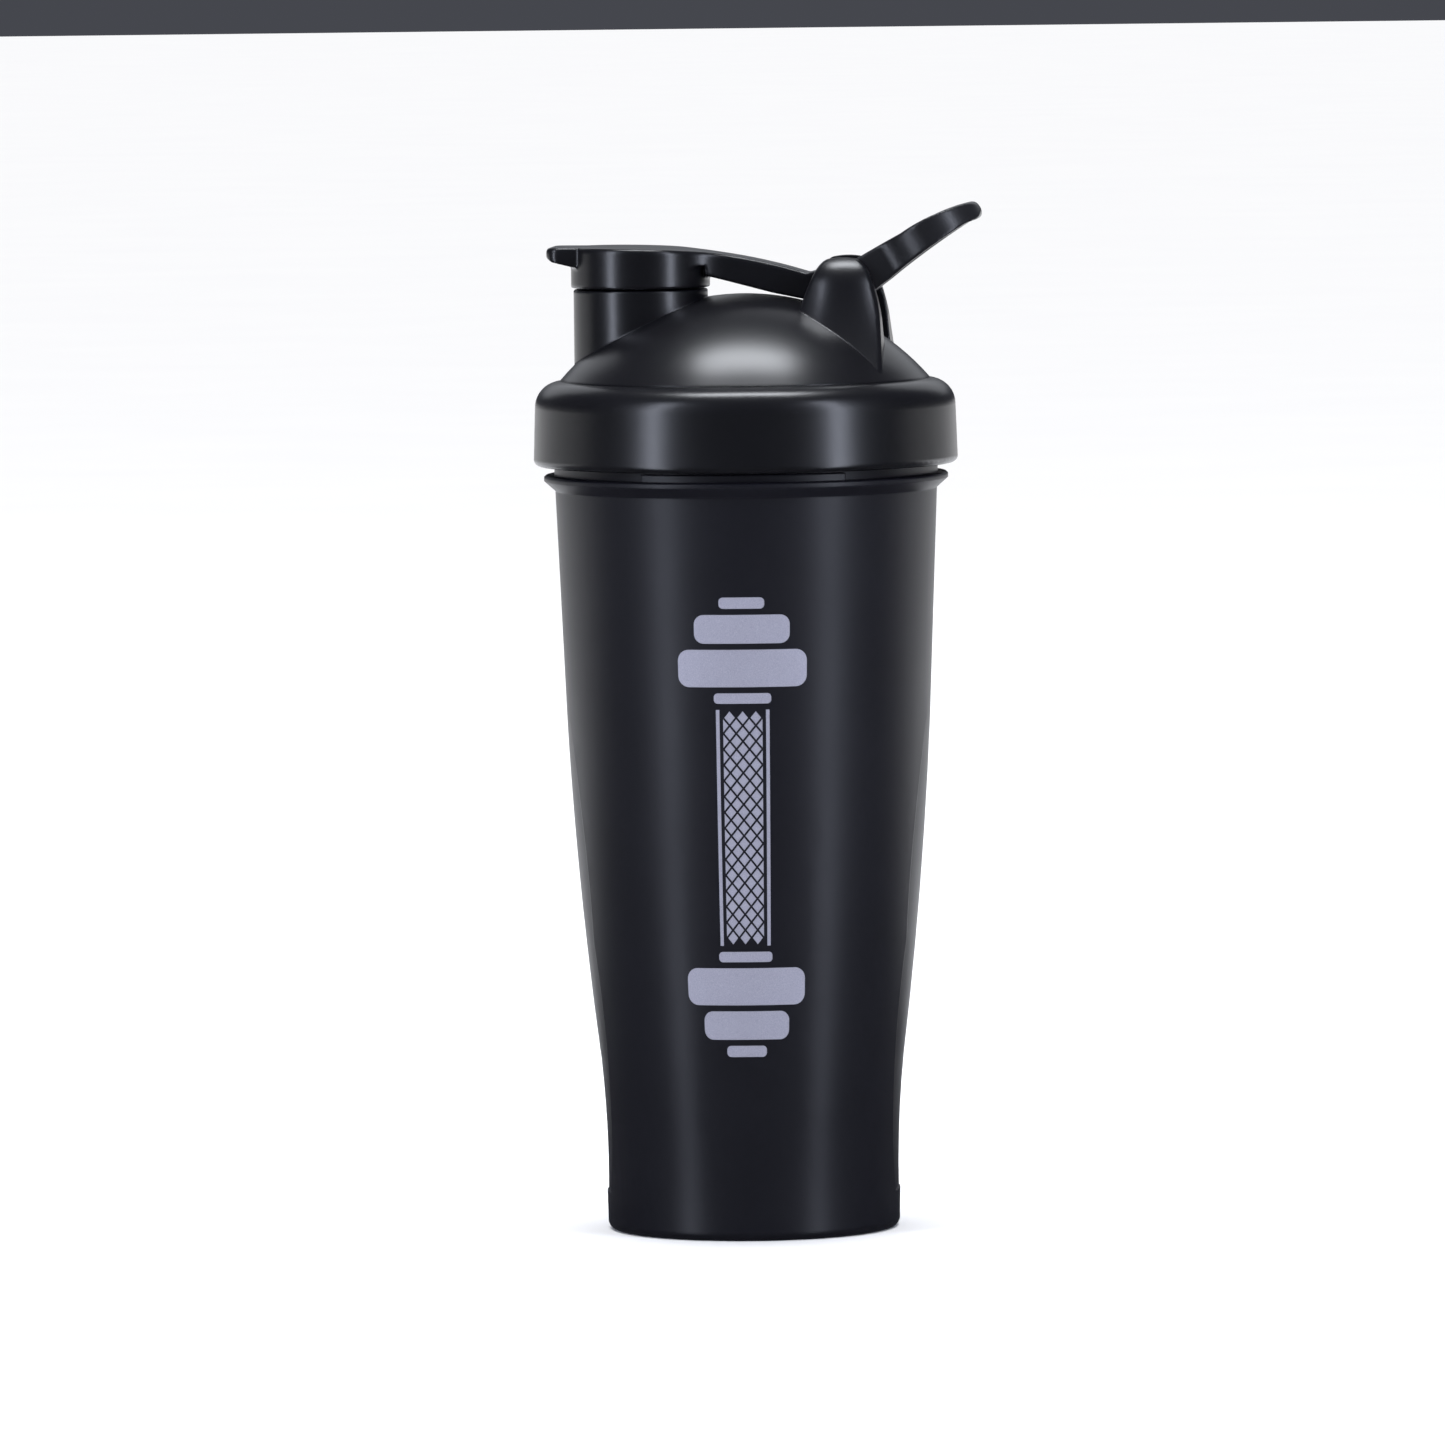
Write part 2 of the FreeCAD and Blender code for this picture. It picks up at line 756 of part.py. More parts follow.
def make_lid():
    bore = doc.addObject("Part::Cylinder", "spout_bore")
    bore.setExpression("Radius", dim("spout_bore_radius").text)
    bore.setExpression("Height", (dim("spout_rim_z") - dim("skirt_z") + BEYOND).text)
    bore.setExpression("Placement.Base.x", dim("spout_x").text)
    bore.setExpression("Placement.Base.z", dim("skirt_z").text)
    pin_bore = y_cylinder("pin_bore", dim("pin_radius"), dim("pin_blind_y"),
                          dim("bracket_slot"))
    solid = boolean("MultiFuse", "lid_solid", [lid_outside(), spout_wall(), bracket_ears()])
    hollow = boolean("MultiFuse", "lid_hollow", [lid_inside(), bore, pin_bore])
    return boolean("Cut", "lid", [solid, hollow])


def make_gasket():
    body = new_body("lid_gasket")
    low, high = dim("gasket_bottom_z"), dim("gasket_top_z")
    inner, outer = dim("gasket_inner_radius"), dim("gasket_outer_radius")
    soft = dim("gasket_rounding")
    sketch = new_sketch(body, "gasket_section", "XZ")
    outline(sketch, [
        (inner + soft, low),
        (outer - soft, low, soft),
        (outer, low + soft),
        (outer, high - soft, soft),
        (outer - soft, high),
        (inner + soft, high, soft),
        (inner, high - soft),
        (inner, low + soft, soft),
    ])
    revolve(body, sketch)
    return body


# ---------------------------------------------------------------- flip cap and its seal

def make_flip_cap():
    body = new_body("flip_cap")
    left = dim("cap_tab_x")
    top = dim("cap_top_z")
    hub = dim("hub_radius")
    hinge_x, hinge_z = dim("hinge_x"), dim("hinge_z")
    centre = dim("spout_x")
    side = new_sketch(body, "cap_side", "XZ")
    step_x = centre + dim("cap_radius") - SUNK
    nose = dim("tab_nose")
    outline(side, [
        (left + dim("tab_chin"), dim("cap_tab_z") + dim("tab_chin_rise")),
        (left + dim("tab_slope"), dim("cap_tab_z")),
        (step_x, dim("cap_tab_z")),
        (step_x, dim("arm_under_z")),
        (dim("arm_low_x"), dim("arm_low_z")),
        (dim("arm_heel_x"), dim("arm_heel_z")),
        (dim("hub_heel_x"), dim("hub_heel_z")),
        (hinge_x, hinge_z - hub, hub),
        (hinge_x + hub, hinge_z, hub),
        (hinge_x, hinge_z + hub, dim("arm_end_curve")),
        (dim("arm_end_x"), top - dim("arm_top_fall"), dim("arm_top_curve")),
        (dim("cap_top_bend_x"), top - dim("cap_top_fall"), dim("cap_top_curve")),
        (left + nose, top, nose),
        (left, top - nose),
        (left, dim("cap_tab_z") + dim("tab_lip_rise")),
    ])
    pad(body, side, dim("cap_radius") * 2, midplane=True)

    plan = new_sketch(body, "cap_plan", "XY")
    tab = dim("cap_tab_half")
    corner = dim("cap_tab_corner")
    root = dim("arm_root_half")
    neck = dim("arm_neck_half")
    neck_x = dim("arm_neck_x")
    blend = dim("arm_root_curve")
    half_hub = dim("hub_half_width")
    round_cap = dim("cap_radius")
    frame_around(plan, WHOLE)
    tab_x = centre - leg(round_cap, tab)
    root_x = centre + leg(round_cap, root)
    hub_x = hinge_x - hub - BEYOND
    end_x = hinge_x + hub + BEYOND
    outline(plan, [
        (left, -tab + corner, corner),
        (left + corner, -tab),
        (tab_x, -tab, round_cap),
        (centre, -round_cap, round_cap),
        (root_x, -root, -blend),
        (neck_x, -neck),
        (hub_x, -half_hub),
        (end_x, -half_hub),
        (end_x, half_hub),
        (hub_x, half_hub),
        (neck_x, neck, -blend),
        (root_x, root, round_cap),
        (centre, round_cap, round_cap),
        (tab_x, tab),
        (left + corner, tab, corner),
        (left, tab - corner),
    ])
    pocket(body, plan, WHOLE, reverse=True)

    top_faces = [face for face in body.Tip.Shape.Faces if faces_up(face)]
    rim_start = left.value + dim("cap_rounding").value

    def top_rim(edge):
        owners = [face for face in top_faces if has_edge(face, edge)]
        middle_x = edge.CenterOfMass.x
        return len(owners) == 1 and rim_start < middle_x < hub_x.value - BEYOND

    round_edges(body, dim("cap_rounding"), "cap_rim_rounding", top_rim)

    skirt = new_sketch(body, "cap_skirt", "XY")
    skirt.AttachmentOffset = FreeCAD.Placement(
        Vector(0, 0, dim("cap_skirt_z").value), FreeCAD.Rotation())
    circle(skirt, centre, 0, round_cap)
    pad(body, skirt, dim("cap_tab_z") - dim("cap_skirt_z"))

    hollow = new_sketch(body, "cap_hollow", "XY")
    hollow.AttachmentOffset = FreeCAD.Placement(
        Vector(0, 0, dim("cap_skirt_z").value - BEYOND), FreeCAD.Rotation())
    circle(hollow, centre, 0, dim("cap_bore_radius"))
    pocket(body, hollow, dim("cap_ceiling_z") - dim("cap_skirt_z") + BEYOND, reverse=True)

    boss_z = dim("seal_tip_z") + dim("seal_boss_rise")
    boss = new_sketch(body, "seal_boss", "XY")
    boss.AttachmentOffset = FreeCAD.Placement(
        Vector(0, 0, boss_z.value), FreeCAD.Rotation())
    circle(boss, centre, 0, dim("seal_boss_radius"))
    circle(boss, centre, 0, dim("seal_boss_radius") - dim("seal_boss_wall"))
    pad(body, boss, dim("cap_ceiling_z") - boss_z + SUNK)

    eye = new_sketch(body, "hub_bore", "XZ")
    circle(eye, hinge_x, hinge_z, dim("pin_radius") + dim("running_gap"))
    pocket(body, eye, WHOLE, midplane=True)
    return body


def make_spout_seal():
    """The soft ring round the boss under the cap, which plugs the spout."""
    body = new_body("spout_seal")
    tip = dim("seal_tip_z")
    ceiling = dim("cap_ceiling_z")
    soft = dim("seal_tip_rounding")
    flange = dim("seal_radius") + dim("seal_flange")
    flange_z = ceiling - dim("seal_flange_height")
    sketch = new_sketch(body, "seal_section", "XZ")
    outline(sketch, [
        (dim("seal_boss_radius"), tip),
        (dim("seal_tip_radius") - soft, tip, soft),
        (dim("seal_tip_radius"), tip + soft),
        (dim("seal_radius"), flange_z),
        (flange, flange_z),
        (flange, ceiling),
        (dim("seal_boss_radius"), ceiling),
    ])
    revolve(body, sketch)
    body.setExpression("Placement.Base.x", dim("spout_x").text)
    return body


# ---------------------------------------------------------------- carry loop and pin

def make_carry_loop():
    body = new_body("carry_loop")
    reach = dim("loop_reach")
    eye = dim("loop_eye_radius")
    side = new_sketch(body, "loop_side", "XZ")
    outline(side, [
        (0, -eye, -dim("loop_root_curve")),
        (dim("loop_waist"), -dim("loop_waist_low"), -dim("loop_under_curve")),
        (reach - dim("loop_toe"), -dim("loop_toe_low"), -dim("loop_toe_curve")),
        (reach - dim("loop_chin"), -dim("loop_chin_low"), dim("loop_nose_curve")),
        (reach, dim("loop_nose_up"), dim("loop_nose_curve")),
        (reach - dim("loop_brow"), dim("loop_brow_up"), dim("loop_brow_curve")),
        (dim("loop_back"), dim("loop_back_up"), dim("loop_back_curve")),
        (0, eye, eye),
        (-eye, 0, eye),
    ])
    pad(body, side, dim("loop_half_width") * 2, midplane=True)

    plan = new_sketch(body, "loop_plan", "XY")
    wide = dim("loop_half_width")
    outer = dim("loop_eye_outer")
    round_x = reach - wide
    frame_around(plan, WHOLE)
    leg_x = dim("loop_leg")
    spread_x = dim("loop_spread")
    spread = dim("loop_spread_curve")
    side_curve = dim("loop_side_curve")
    shoulder = outer + dim("loop_spread_out")
    outline(plan, [
        (-eye - BEYOND, -outer),
        (leg_x, -outer, -spread),
        (spread_x, -shoulder, side_curve),
        (round_x, -wide, wide),
        (reach, 0, wide),
        (round_x, wide, side_curve),
        (spread_x, shoulder, -spread),
        (leg_x, outer),
        (-eye - BEYOND, outer),
    ])
    pocket(body, plan, WHOLE, midplane=True)

    opening = new_sketch(body, "finger_opening", "XY")
    inner = dim("loop_eye_inner")
    bow = wide - dim("loop_bar")
    waist = inner + dim("opening_spread_out")
    opening_side = dim("opening_side_curve")
    outline(opening, [
        (-eye - BEYOND, -inner),
        (leg_x, -inner, spread),
        (spread_x, -waist, opening_side),
        (round_x, -bow, bow),
        (round_x + bow, 0, bow),
        (round_x, bow, opening_side),
        (spread_x, waist, spread),
        (leg_x, inner),
        (-eye - BEYOND, inner),
    ])
    pocket(body, opening, WHOLE, midplane=True)

    bore = new_sketch(body, "loop_bore", "XZ")
    circle(bore, 0, 0, dim("pin_radius") + dim("running_gap"))
    pocket(body, bore, WHOLE, midplane=True)
    body.Placement = FreeCAD.Placement(
        Vector(dim("hinge_x").value, 0, dim("hinge_z").value),
        FreeCAD.Rotation(Vector(0, -1, 0), dim("loop_tilt").value),
    )
    body.setExpression("Placement.Base.x", dim("hinge_x").text)
    body.setExpression("Placement.Base.z", dim("hinge_z").text)
    body.setExpression("Placement.Rotation.Angle", dim("loop_tilt").text)
    return body


def make_hinge_pin():
    return y_cylinder("hinge_pin", dim("pin_radius"), dim("pin_blind_y"), dim("pin_end_y"))


# ---------------------------------------------------------------- whisk ball

def make_whisk_ball():
    """One wire wound into a ball: half circles that meet end to end on the sphere.

    The ends of every half circle lie on one great circle of the sphere, alternately on
    its two sides, so each next half circle leaves where the last one arrives, and in the
    same direction.
    """
    first_angle, last_angle, halves = 12.0, 168.0, 16
    step = (last_angle - first_angle) / halves
    ball = dim("ball_radius")
    pieces = []
    side = 1.0
    for index in range(halves):
        start = math.radians(first_angle + index * step)
        end = math.radians(first_angle + (index + 1) * step)
        spread = (start + end) / 2
        from_point = Vector(side * math.sin(start), 0, math.cos(start)) * ball.value
        to_point = Vector(-side * math.sin(end), 0, math.cos(end)) * ball.value
        along = (from_point - to_point).normalize()
        across = Vector(0, -side, 0)
        turn = doc.addObject("Part::Torus", "whisk_turn_%02d" % (index + 1))
        turn.setExpression("Radius1", (ball * math.sin(spread)).text)
        turn.setExpression("Radius2", dim("wire_radius").text)
        turn.Angle3 = 180
        turn.Placement = FreeCAD.Placement(
            (from_point + to_point) * 0.5,
            FreeCAD.Rotation(along, across, along.cross(across), "XYZ"),
        )
        pieces.append(turn)
        side = -side
    ball_node = boolean("MultiFuse", "whisk_ball", pieces)
    ball_node.Placement = FreeCAD.Placement(
        Vector(0, 0, dim("ball_centre_z").value),
        FreeCAD.Rotation(Vector(1, 0, 0), dim("ball_tilt").value),
    )
    ball_node.setExpression("Placement.Base.z", dim("ball_centre_z").text)
    ball_node.setExpression("Placement.Rotation.Angle", dim("ball_tilt").text)
    return ball_node


# ---------------------------------------------------------------- check and export

def check_document():
    for item in doc.Objects:
        if "Invalid" in item.State or "Error" in item.State:
            raise RuntimeError("%s did not compute: %s" % (item.Name, item.State))


def export(nodes):
    os.makedirs("parts", exist_ok=True)
    for node in nodes:
        shape = node.Shape
        if shape.isNull() or not shape.isValid() or len(shape.Solids) != 1:
            raise RuntimeError("%s has %d solids, valid %s"
                               % (node.Label, len(shape.Solids), shape.isValid()))
        shape.exportStep(os.path.join("parts", node.Label + ".step"))
        print("%-12s %9.1f mm3" % (node.Label, shape.Volume))


nodes = [
    make_cup(),
    make_lid(),
    make_gasket(),
    make_flip_cap(),
    make_spout_seal(),
    make_carry_loop(),
    make_hinge_pin(),
    make_whisk_ball(),
]
doc.recompute()
check_document()
export(nodes)
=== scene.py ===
import json
import math

import bmesh
import bpy
from mathutils import Matrix, Vector
from mathutils.bvhtree import BVHTree

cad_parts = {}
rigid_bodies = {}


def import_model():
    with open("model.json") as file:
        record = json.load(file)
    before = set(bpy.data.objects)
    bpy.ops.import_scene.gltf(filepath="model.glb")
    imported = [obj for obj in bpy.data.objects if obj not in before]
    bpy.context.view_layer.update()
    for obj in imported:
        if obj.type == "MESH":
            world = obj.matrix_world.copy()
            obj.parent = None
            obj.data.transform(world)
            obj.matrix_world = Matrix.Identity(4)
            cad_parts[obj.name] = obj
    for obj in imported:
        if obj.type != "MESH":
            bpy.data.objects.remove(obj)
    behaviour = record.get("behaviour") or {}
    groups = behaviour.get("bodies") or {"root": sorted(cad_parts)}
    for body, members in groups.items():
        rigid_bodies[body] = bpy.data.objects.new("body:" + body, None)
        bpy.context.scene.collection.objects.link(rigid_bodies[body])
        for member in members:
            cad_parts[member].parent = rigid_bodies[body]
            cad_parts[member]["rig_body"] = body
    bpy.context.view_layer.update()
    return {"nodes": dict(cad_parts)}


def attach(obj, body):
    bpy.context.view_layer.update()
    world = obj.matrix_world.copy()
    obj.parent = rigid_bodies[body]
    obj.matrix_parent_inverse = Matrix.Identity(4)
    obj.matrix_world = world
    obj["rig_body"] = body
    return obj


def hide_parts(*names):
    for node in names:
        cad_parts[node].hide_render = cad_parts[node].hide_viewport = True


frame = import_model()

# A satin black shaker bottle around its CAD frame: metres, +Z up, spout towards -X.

MM = 0.001
NODES = frame["nodes"]


# ---------------------------------------------------------------- camera

CAMERA_AZIMUTH = math.radians(5.0)
CAMERA_ELEVATION = math.radians(4.0)
CAMERA_ROLL = math.radians(0.65)
CAMERA_DISTANCE = 3.007
CAMERA_LENS = 323.0
SENSOR_WIDTH = 36.0
CLIP_NEAR = 0.05
CLIP_FAR = 20.0
AIM_RIGHT = -6.1 * MM
AIM_UP = 117.4 * MM


def make_camera():
    back = Vector((
        math.sin(CAMERA_AZIMUTH) * math.cos(CAMERA_ELEVATION),
        -math.cos(CAMERA_AZIMUTH) * math.cos(CAMERA_ELEVATION),
        math.sin(CAMERA_ELEVATION),
    ))
    right = Vector((0, 0, 1)).cross(back).normalized()
    up = back.cross(right)
    aim = right * AIM_RIGHT + Vector((0, 0, AIM_UP))
    data = bpy.data.cameras.new("camera")
    data.lens = CAMERA_LENS
    data.sensor_width = SENSOR_WIDTH
    data.clip_start = CLIP_NEAR
    data.clip_end = CLIP_FAR
    camera = bpy.data.objects.new("camera", data)
    axes = Matrix((right, up, back)).transposed()
    camera.matrix_world = (
        Matrix.Translation(aim + back * CAMERA_DISTANCE)
        @ axes.to_4x4()
        @ Matrix.Rotation(-CAMERA_ROLL, 4, "Z")
    )
    bpy.context.scene.collection.objects.link(camera)
    bpy.context.scene.camera = camera


# ---------------------------------------------------------------- node helpers

# Blender's noise mostly stays between these two values.
NOISE_LOW = 0.15
NOISE_HIGH = 0.85
BEVEL_SAMPLES = 8


def new_material(name):
    """A node material, its node tree and its Principled shader."""
    material = bpy.data.materials.new(name)
    material.use_nodes = True
    tree = material.node_tree
    return material, tree, tree.nodes["Principled BSDF"]


def add_node(tree, kind, **values):
    """A node with its sockets, or else its settings, filled in by name."""
    node = tree.nodes.new(kind)
    for key, value in values.items():
        if key in node.inputs:
            node.inputs[key].default_value = value
        else:
            setattr(node, key.lower().replace(" ", "_"), value)
    return node


def noise(tree, scale, detail=3.0, stretch=(1, 1, 1), rough=0.5):
    """Noise in object space, in cycles per metre, stretched along an axis."""
    coordinates = add_node(tree, "ShaderNodeTexCoord")
    mapping = add_node(tree, "ShaderNodeMapping")
    mapping.inputs["Scale"].default_value = stretch
    tree.links.new(coordinates.outputs["Object"], mapping.inputs["Vector"])
    texture = add_node(tree, "ShaderNodeTexNoise", Scale=scale, Detail=detail, Roughness=rough)
    tree.links.new(mapping.outputs["Vector"], texture.inputs["Vector"])
    return texture.outputs["Fac"]


def spread(tree, value, low, high):
    """Maps a noise pattern to the range low..high."""
    node = add_node(tree, "ShaderNodeMapRange")
    node.inputs["From Min"].default_value = NOISE_LOW
    node.inputs["From Max"].default_value = NOISE_HIGH
    node.inputs["To Min"].default_value = low
    node.inputs["To Max"].default_value = high
    tree.links.new(value, node.inputs["Value"])
    return node.outputs["Result"]


def two_colours(tree, value, first, second):
    """Mixes two colours by a noise pattern."""
    node = add_node(tree, "ShaderNodeMix", data_type="RGBA")
    node.inputs["A"].default_value = (*first, 1)
    node.inputs["B"].default_value = (*second, 1)
    tree.links.new(value, node.inputs["Factor"])
    return node.outputs["Result"]


def bump(tree, shader, layers, edge_radius=None):
    """Stacks bump layers, each (height, distance, strength), on edges shaded as rounded."""
    normal = None
    if edge_radius:
        edge = tree.nodes.new("ShaderNodeBevel")
        edge.samples = BEVEL_SAMPLES
        edge.inputs["Radius"].default_value = edge_radius
        normal = edge.outputs["Normal"]
    for height, distance, strength in layers:
        node = add_node(tree, "ShaderNodeBump", Strength=strength, Distance=distance)
        tree.links.new(height, node.inputs["Height"])
        if normal is not None:
            tree.links.new(normal, node.inputs["Normal"])
        normal = node.outputs["Normal"]
    tree.links.new(normal, shader.inputs["Normal"])


def set_all(node_name, material):
    """Gives a CAD node its material."""
    slots = NODES[node_name].data.materials
    slots.clear()
    slots.append(material)


# ---------------------------------------------------------------- materials

# Pattern sizes are in cycles per metre and bump depths in metres.
PLASTIC_IOR = 1.49
BLOTCH_SCALE = 55.0
HANDLING_SCALE = 22.0
FLOW_SCALE = 30.0
FLOW_STRETCH = (1, 1, 0.15)
FLOW_DEPTH = 0.05 * MM
FLOW_STRENGTH = 0.05
GRAIN_STRENGTH = 0.4

INK_COLOURS = ((0.23, 0.23, 0.29), (0.38, 0.38, 0.46))
INK_ROUGHNESS = (0.42, 0.58)
INK_METALLIC = 0.25
INK_FLAKE_SCALE = 5200.0
INK_WEAR_SCALE = 160.0
INK_DEPTH = 0.03 * MM
INK_STRENGTH = 0.3

SILICONE_COLOURS = ((0.10, 0.10, 0.11), (0.15, 0.15, 0.165))
SILICONE_ROUGHNESS = (0.55, 0.72)
DUST_SCALE = 300.0
DUST_DEPTH = 0.05 * MM
DUST_STRENGTH = 0.4

STEEL_COLOURS = ((0.55, 0.56, 0.58), (0.70, 0.70, 0.71))
STEEL_ROUGHNESS = (0.16, 0.30)
STAIN_SCALE = 110.0
DRAWN_SCALE = 2500.0
DRAWN_DEPTH = 0.02 * MM
DRAWN_STRENGTH = 0.25


def moulded_plastic(name, colours, roughness, gloss, grain_scale, grain_depth, edge_radius):
    """Dark injection-moulded plastic: spark-eroded grain, flow marks and handling marks."""
    material, tree, shader = new_material(name)
    blotch = noise(tree, BLOTCH_SCALE)
    tree.links.new(two_colours(tree, blotch, *colours), shader.inputs["Base Color"])
    handling = noise(tree, HANDLING_SCALE)
    tree.links.new(spread(tree, handling, *roughness), shader.inputs["Roughness"])
    shader.inputs["IOR"].default_value = PLASTIC_IOR
    shader.inputs["Specular IOR Level"].default_value = gloss
    grain = noise(tree, grain_scale, detail=1.0)
    flow = noise(tree, FLOW_SCALE, detail=0.0, stretch=FLOW_STRETCH)
    layers = [(flow, FLOW_DEPTH, FLOW_STRENGTH), (grain, grain_depth, GRAIN_STRENGTH)]
    bump(tree, shader, layers, edge_radius)
    return material


def ink():
    """Metallic lavender-grey screen print with a slightly worn, grainy coat."""
    material, tree, shader = new_material("print_ink")
    flakes = noise(tree, INK_FLAKE_SCALE, detail=2.0)
    coat = two_colours(tree, spread(tree, flakes, 0.0, 1.0), *INK_COLOURS)
    tree.links.new(coat, shader.inputs["Base Color"])
    worn = noise(tree, INK_WEAR_SCALE, detail=5.0)
    tree.links.new(spread(tree, worn, *INK_ROUGHNESS), shader.inputs["Roughness"])
    shader.inputs["Metallic"].default_value = INK_METALLIC
    bump(tree, shader, [(flakes, INK_DEPTH, INK_STRENGTH)])
    return material


def silicone():
    """Soft grey silicone with a dusty, uneven sheen."""
    material, tree, shader = new_material("soft_silicone")
    dust = noise(tree, DUST_SCALE, detail=4.0)
    tree.links.new(two_colours(tree, dust, *SILICONE_COLOURS), shader.inputs["Base Color"])
    tree.links.new(spread(tree, dust, *SILICONE_ROUGHNESS), shader.inputs["Roughness"])
    bump(tree, shader, [(dust, DUST_DEPTH, DUST_STRENGTH)])
    return material


def steel():
    """Polished stainless wire with fine drawing marks and faint water stains."""
    material, tree, shader = new_material("stainless_steel")
    stain = noise(tree, STAIN_SCALE, detail=5.0)
    tree.links.new(two_colours(tree, stain, *STEEL_COLOURS), shader.inputs["Base Color"])
    shader.inputs["Metallic"].default_value = 1.0
    tree.links.new(spread(tree, stain, *STEEL_ROUGHNESS), shader.inputs["Roughness"])
    drawn = noise(tree, DRAWN_SCALE, detail=2.0)
    bump(tree, shader, [(drawn, DRAWN_DEPTH, DRAWN_STRENGTH)])
    return material


CUP_PLASTIC = moulded_plastic(
    "cup_satin_black",
    colours=((0.0054, 0.0054, 0.0086), (0.0074, 0.0074, 0.0116)),
    roughness=(0.38, 0.43),
    gloss=0.35,
    grain_scale=2600.0,
    grain_depth=0.02 * MM,
    edge_radius=0.5 * MM,
)
LID_PLASTIC = moulded_plastic(
    "lid_semigloss_black",
    colours=((0.0032, 0.0032, 0.0044), (0.0046, 0.0046, 0.0062)),
    roughness=(0.27, 0.31),
    gloss=0.50,
    grain_scale=3400.0,
    grain_depth=0.012 * MM,
    edge_radius=0.7 * MM,
)
LOOP_PLASTIC = moulded_plastic(
    "loop_black_nylon",
    colours=((0.0075, 0.0075, 0.0090), (0.0105, 0.0105, 0.0125)),
    roughness=(0.30, 0.36),
    gloss=0.45,
    grain_scale=3000.0,
    grain_depth=0.02 * MM,
    edge_radius=None,
)
INK = ink()
SILICONE = silicone()
STEEL = steel()


# ---------------------------------------------------------------- mesh helpers

SOFTEN_VOXEL = 0.35 * MM
SOFTEN_FACTOR = 0.5


def link_mesh(name, mesh, material, body):
    """A new piece that rides a body."""
    piece = bpy.data.objects.new(name, mesh)
    bpy.context.scene.collection.objects.link(piece)
    mesh.materials.clear()
    mesh.materials.append(material)
    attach(piece, body)


def softened_copy(node_name, name, material, rounds):
    """A remeshed copy of a CAD node with its sharp edges rounded off."""
    source = NODES[node_name]
    mesh = source.data.copy()
    piece = bpy.data.objects.new(name, mesh)
    bpy.context.scene.collection.objects.link(piece)
    remesh = piece.modifiers.new("remesh", "REMESH")
    remesh.mode = "VOXEL"
    remesh.voxel_size = SOFTEN_VOXEL
    smooth = piece.modifiers.new("smooth", "SMOOTH")
    smooth.factor = SOFTEN_FACTOR
    smooth.iterations = rounds
    scene_state = bpy.context.evaluated_depsgraph_get()
    result = bpy.data.meshes.new_from_object(piece.evaluated_get(scene_state))
    piece.modifiers.clear()
    piece.data = result
    result.polygons.foreach_set("use_smooth", [True] * len(result.polygons))
    result.materials.clear()
    result.materials.append(material)
    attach(piece, source["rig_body"])
    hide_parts(node_name)


# ---------------------------------------------------------------- print on the cup

# A vertical dumbbell seen from the side, millimetres round the cup and up from the foot.
PRINT_AZIMUTH = math.radians(3.0)
PRINT_LIFT = 0.05 * MM
PRINT_STEP = 0.5
RAY_START = 0.2
CORNER_STEPS = 8
PLATES = [
    # bottom, top, half width, corner radius
    (43.0, 45.6, 5.0, 1.0),
    (47.0, 53.6, 10.6, 2.2),
    (55.0, 63.6, 14.5, 2.6),
    (65.0, 67.4, 6.4, 0.9),
    (124.6, 127.0, 6.4, 0.9),
    (128.4, 137.0, 14.5, 2.6),
    (138.4, 145.0, 10.6, 2.2),
    (146.4, 149.0, 5.0, 1.0),
]
HANDLE_LOW = 68.8
HANDLE_HIGH = 123.2
HANDLE_HALF = 4.4
RAIL_WIDTH = 0.8
RAIL_ROWS = 34
KNURL_COLUMNS = 3
KNURL_ROWS = 15
KNURL_FILL = 0.80
DIAMOND_STEPS = 4
DIAMOND_TIP = 0.02


class CupWrap:
    """Finds points a little outside the cup's wall."""

    def __init__(self):
        mesh = NODES["cup"].data
        place = NODES["cup"].matrix_world
        corners = [place @ vertex.co for vertex in mesh.vertices]
        faces = [tuple(polygon.vertices) for polygon in mesh.polygons]
        self.tree = BVHTree.FromPolygons(corners, faces)
        self.radius = self.hit(0.0, 0.5 * (HANDLE_LOW + HANDLE_HIGH) * MM)

    def hit(self, angle, height):
        """The wall's radius at an angle and a height, in metres."""
        outwards = Vector((math.sin(angle), -math.cos(angle), 0))
        start = outwards * RAY_START + Vector((0, 0, height))
        return RAY_START - self.tree.ray_cast(start, -outwards)[3]

    def point(self, along, height):
        """along is measured round the cup and height up it, both in millimetres."""
        angle = PRINT_AZIMUTH + along * MM / self.radius
        radius = self.hit(angle, height * MM) + PRINT_LIFT
        return (math.sin(angle) * radius, -math.cos(angle) * radius, height * MM)


def rounded_half_width(distance, half, corner):
    """Half width of a rounded rectangle at a distance from its nearer end."""
    if distance >= corner:
        return half
    return half - corner + math.sqrt(corner ** 2 - (corner - distance) ** 2)


def add_strip(builder, wrap, rows):
    """A patch on the wall between rows of (height, left, right)."""
    columns = max(2, int(max(right - left for _, left, right in rows) / PRINT_STEP))
    lines = []
    for height, left, right in rows:
        lines.append([
            builder.verts.new(wrap.point(left + (right - left) * column / columns, height))
            for column in range(columns + 1)
        ])
    for below, above in zip(lines, lines[1:]):
        for column in range(columns):
            builder.faces.new((
                below[column], below[column + 1], above[column + 1], above[column]))


def add_plate(builder, wrap, low, high, half, corner):
    """A rounded rectangle, with rows closest together in its corners."""
    corner_rows = [
        corner * (1 - math.cos(math.pi / 2 * step / CORNER_STEPS))
        for step in range(CORNER_STEPS + 1)
    ]
    straight = high - low - 2 * corner
    middle = int(straight / PRINT_STEP)
    heights = [low + rise for rise in corner_rows]
    heights += [low + corner + straight * step / (middle + 1) for step in range(1, middle + 1)]
    heights += [high - rise for rise in reversed(corner_rows)]
    rows = []
    for height in heights:
        reach = rounded_half_width(min(height - low, high - height), half, corner)
        rows.append((height, -reach, reach))
    add_strip(builder, wrap, rows)


